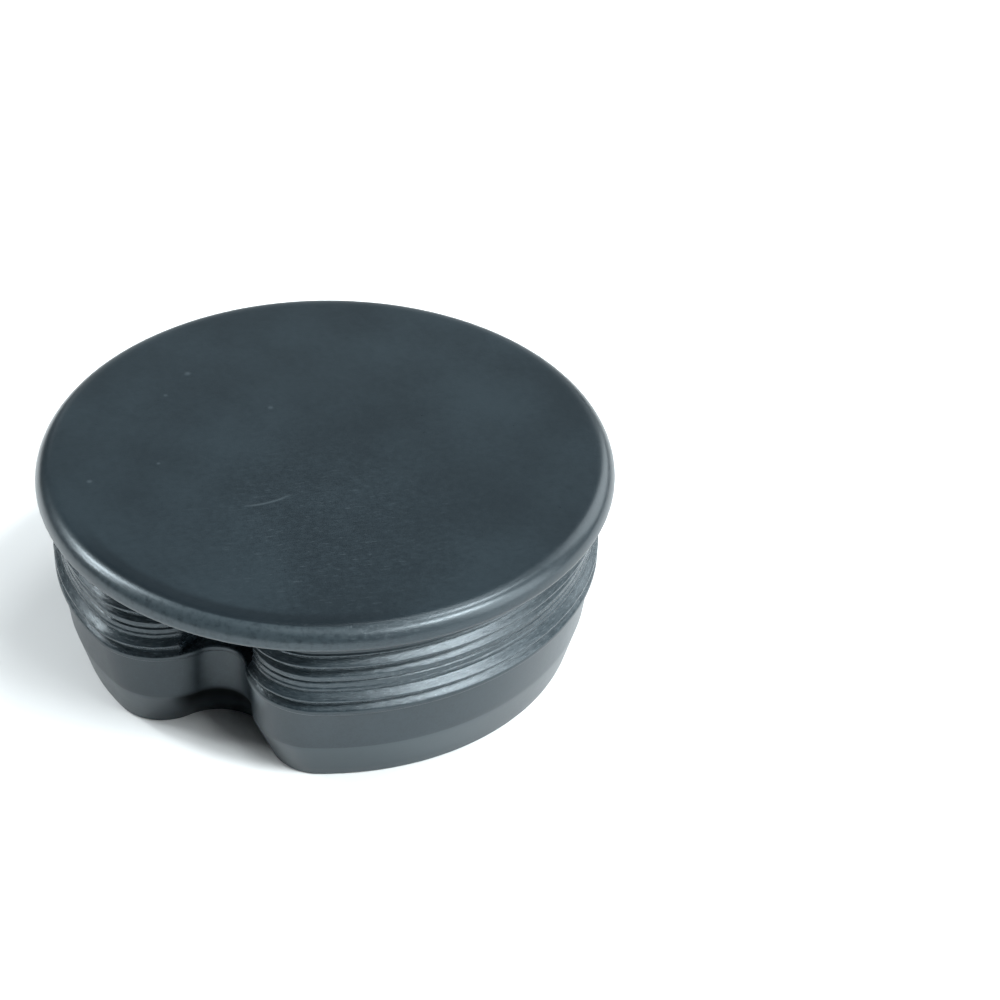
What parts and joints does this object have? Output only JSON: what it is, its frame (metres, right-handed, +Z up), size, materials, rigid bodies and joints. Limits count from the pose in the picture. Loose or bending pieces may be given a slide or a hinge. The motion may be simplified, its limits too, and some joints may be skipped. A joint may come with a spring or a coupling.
{
  "type": "tube end cap",
  "caption": "Push-in end cap for a round grooved tube: flat round head with a rounded rim over a hollow ribbed shank, with one rounded notch down the shank's side.",
  "frame": {"origin": "on the cap's axis, in the plane of the open rim that it stands on", "axes": "+Z up along the axis through the head, -Y through the middle of the notch, +X to the right of the notch seen from the notch side"},
  "size_m": [0.0764, 0.0764, 0.0272],
  "materials": {
    "cap_plastic": "dark slate grey soft plastic, satin, smooth as moulded, slightly coarser round the ribs"
  },
  "bodies": {
    "root": {"end_cap": "cap_plastic"}
  },
  "joints": []
}
